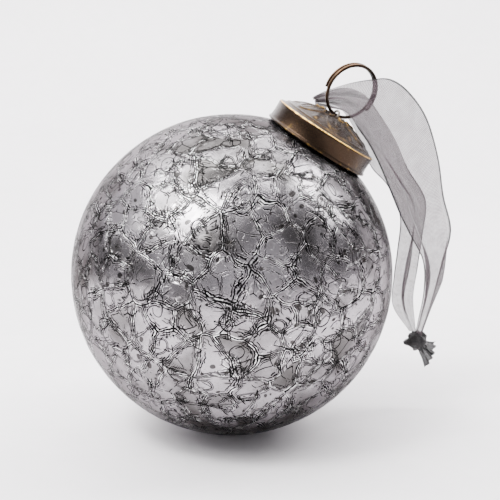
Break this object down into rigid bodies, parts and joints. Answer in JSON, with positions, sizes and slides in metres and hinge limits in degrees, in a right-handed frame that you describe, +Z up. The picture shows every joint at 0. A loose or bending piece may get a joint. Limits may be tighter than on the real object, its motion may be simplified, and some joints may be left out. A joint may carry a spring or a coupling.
{
  "type": "glass ball ornament",
  "caption": "Silvered crackle-glass ball ornament with an embossed antique brass cap, a spring clip, a split ring and a knotted sheer ribbon loop.",
  "frame": {"origin": "the lowest point of the glass ball, where it rests on a table", "axes": "+X right as seen from the front, the side that the cap leans to; +Y to the back; +Z up"},
  "size_m": [0.1199, 0.1, 0.1156],
  "materials": {
    "silvered_glass": "clear crackle glass silvered on the inside, glossy",
    "antique_brass": "stamped and embossed, darkened with worn bright edges",
    "clip_wire": "drawn spring wire, aged",
    "ring_wire": "dark bronzed wire, worn bright on its outer edge",
    "organza": "sheer plain-woven ribbon with darker woven edges"
  },
  "bodies": {
    "ball": {"glass_ball": "silvered_glass"},
    "cap": {"cap_shell": "antique_brass"},
    "clip": {"spring_clip": "clip_wire"},
    "ring": {"split_ring": "ring_wire"},
    "ribbon": {"ribbon": "organza"}
  },
  "joints": [
    {"name": "cap_pull", "type": "slide", "parent": "ball", "child": "cap", "axis": [0.5373, 0, 0.8434], "range_m": [0, 0.03]},
    {"name": "clip_turn", "type": "hinge", "parent": "cap", "child": "clip", "pos_m": [0, 0, 0.05], "axis": [0.5373, 0, 0.8434], "continuous": true},
    {"name": "ring_swing", "type": "hinge", "parent": "clip", "child": "ring", "pos_m": [0.03173, 0, 0.0998], "axis": [0.7229, 0.515, -0.4606], "range_deg": [-5, 15]},
    {"name": "ribbon_swing", "type": "hinge", "parent": "ring", "child": "ribbon", "pos_m": [0.03924, 0.00375, 0.09999], "axis": [0.8268, 0.2575, 0.5001], "range_deg": [-5, 30]}
  ]
}
